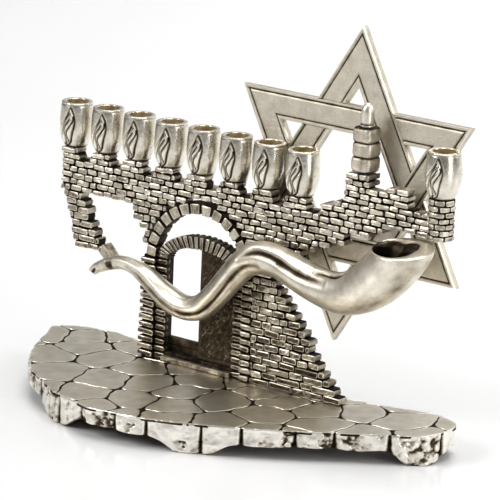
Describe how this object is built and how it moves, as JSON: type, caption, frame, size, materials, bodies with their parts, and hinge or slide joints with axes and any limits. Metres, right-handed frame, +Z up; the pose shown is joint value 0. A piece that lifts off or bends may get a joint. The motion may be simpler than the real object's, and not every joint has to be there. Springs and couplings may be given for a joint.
{
  "type": "Hanukkah menorah",
  "caption": "Free-standing Hanukkah lamp: a broken brick wall with a gate and tower on a paved base, carrying candle cups, with a ram's horn in front and a star behind.",
  "frame": {"origin": "on the table, at the centre of the box round the whole lamp", "axes": "+X along the wall from the first cup to the servant cup (the viewer's right), +Y from the horn's side to the star's side, +Z up"},
  "size_m": [0.2298, 0.1022, 0.183],
  "materials": {
    "paving_silver": "antiqued silver plate on cast metal, satin paving with dark joints and a bright hewn rim",
    "brick_silver": "antiqued silver plate, satin brick faces with brown-black recesses",
    "dark_silver": "heavily darkened antiqued silver plate",
    "horn_silver": "satin silver plate, darkened along the grooves and inside the bell",
    "star_silver": "satin grained silver plate with a darkened engraved line along each edge",
    "cup_silver": "polished silver plate outside, darkened round the flame, golden tan inside the bore",
    "screw_steel": "plain zinc-plated steel"
  },
  "bodies": {
    "root": {"base": "paving_silver", "wall": "brick_silver", "gate_frame": "dark_silver", "gate_leaf": "dark_silver", "tower_turret": "brick_silver", "tower_finial": "horn_silver", "shofar": "horn_silver", "star": "star_silver", "star_posts": "brick_silver", "candle_cup_1": "cup_silver", "candle_cup_2": "cup_silver", "candle_cup_3": "cup_silver", "candle_cup_4": "cup_silver", "candle_cup_5": "cup_silver", "candle_cup_6": "cup_silver", "candle_cup_7": "cup_silver", "candle_cup_8": "cup_silver", "servant_cup": "cup_silver", "cup_screws": "screw_steel", "wall_screws": "screw_steel", "gate_screws": "screw_steel", "horn_screws": "screw_steel", "star_screws": "screw_steel", "turret_pin": "screw_steel"}
  },
  "joints": []
}
